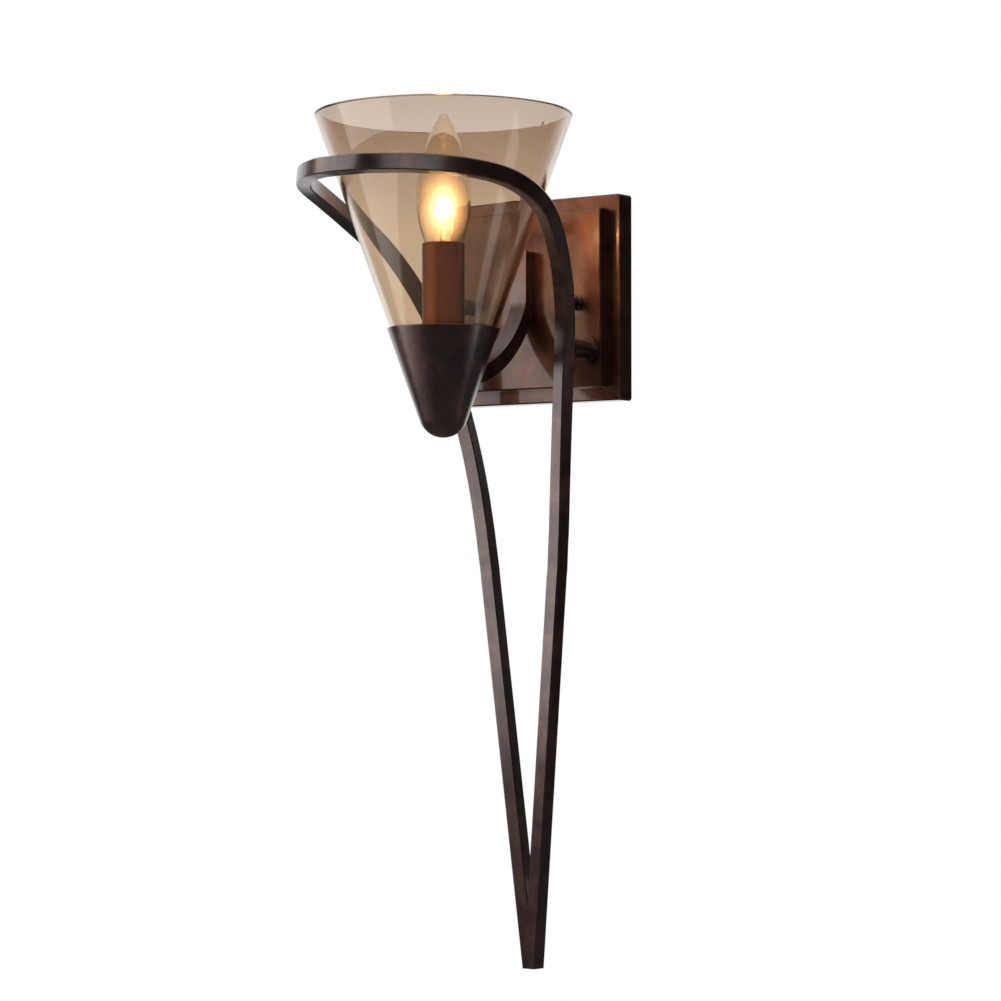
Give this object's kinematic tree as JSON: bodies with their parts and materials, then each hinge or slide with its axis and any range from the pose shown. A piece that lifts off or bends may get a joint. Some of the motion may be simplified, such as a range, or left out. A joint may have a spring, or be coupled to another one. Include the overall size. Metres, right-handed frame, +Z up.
{
  "type": "torch sconce",
  "caption": "Torch-shaped wall sconce with a cone of amber glass in a steel cup, a square canopy and a bent square-bar hoop round the glass whose legs taper to a point.",
  "frame": {"origin": "on the wall, midway between the two slots that the crossbar is screwed to the wall box through", "axes": "+Z up, +X to the right of someone who faces the wall, -Y out of the wall towards them"},
  "size_m": [0.1648, 0.2255, 0.5503],
  "materials": {
    "bronze": "oil-rubbed bronze lacquer, satin, brown-black with reddish brown rubbed through on the flats and edges",
    "copper_sleeve": "coppery brown lacquer with fine lengthwise brushing",
    "dark_nuts": "glossy dark bronze",
    "amber_glass": "clear blown glass with a tea-brown tint and slight waves",
    "clear_glass": "clear thin glass",
    "stem_glass": "clear pressed glass",
    "filament": "tungsten coil, lit warm white",
    "wire": "dull nickel wire",
    "cap_brass": "bright brass lamp cap",
    "cap_insulator": "black glass insulator",
    "solder": "solder",
    "phenolic": "black moulded lamp holder",
    "brass": "pressed brass",
    "rubber": "black silicone ring",
    "zinc": "zinc-plated steel",
    "ground_green": "green earth screw",
    "white_plastic": "off-white insulating bushing"
  },
  "bodies": {
    "fixture": {"canopy": "bronze", "mounting_crossbar": "zinc", "mounting_studs": "zinc", "stud_locknuts": "zinc", "ground_screw": "ground_green", "arm": "bronze", "arm_end_cap": "bronze", "arm_nipple": "zinc", "nipple_washer": "zinc", "nipple_nut": "zinc", "nipple_bushing": "white_plastic", "arm_screw": "zinc", "hoop_frame": "bronze", "standoff_left": "bronze", "standoff_right": "bronze", "standoff_screws": "zinc", "cup": "bronze", "socket_plate": "zinc", "socket_nipple": "zinc", "socket_nipple_nuts": "zinc", "socket_bracket": "zinc", "bracket_screw": "zinc", "socket_body": "phenolic", "socket_shell": "brass", "socket_contact": "brass", "candle_sleeve": "copper_sleeve", "shade_gasket": "rubber"},
    "shade": {"glass_shade": "amber_glass"},
    "bulb": {"bulb_glass": "clear_glass", "bulb_stem": "stem_glass", "bulb_filament": "filament", "filament_supports": "wire", "bulb_base": "cap_brass", "bulb_insulator": "cap_insulator", "bulb_contact": "solder"},
    "left_nut": {"ball_nut_left": "dark_nuts"},
    "right_nut": {"ball_nut_right": "dark_nuts"}
  },
  "joints": [
    {"name": "shade_lift", "type": "slide", "parent": "fixture", "child": "shade", "axis": [0, 0, 1], "range_m": [0, 0.17]},
    {"name": "bulb_draw", "type": "slide", "parent": "fixture", "child": "bulb", "axis": [0, 0, 1], "range_m": [0, 0.16]},
    {"name": "left_nut_turn", "type": "hinge", "parent": "fixture", "child": "left_nut", "pos_m": [-0.04, -0.0348, 0], "axis": [0, -1, 0], "continuous": true},
    {"name": "right_nut_turn", "type": "hinge", "parent": "fixture", "child": "right_nut", "pos_m": [0.04, -0.0348, 0], "axis": [0, -1, 0], "continuous": true}
  ]
}
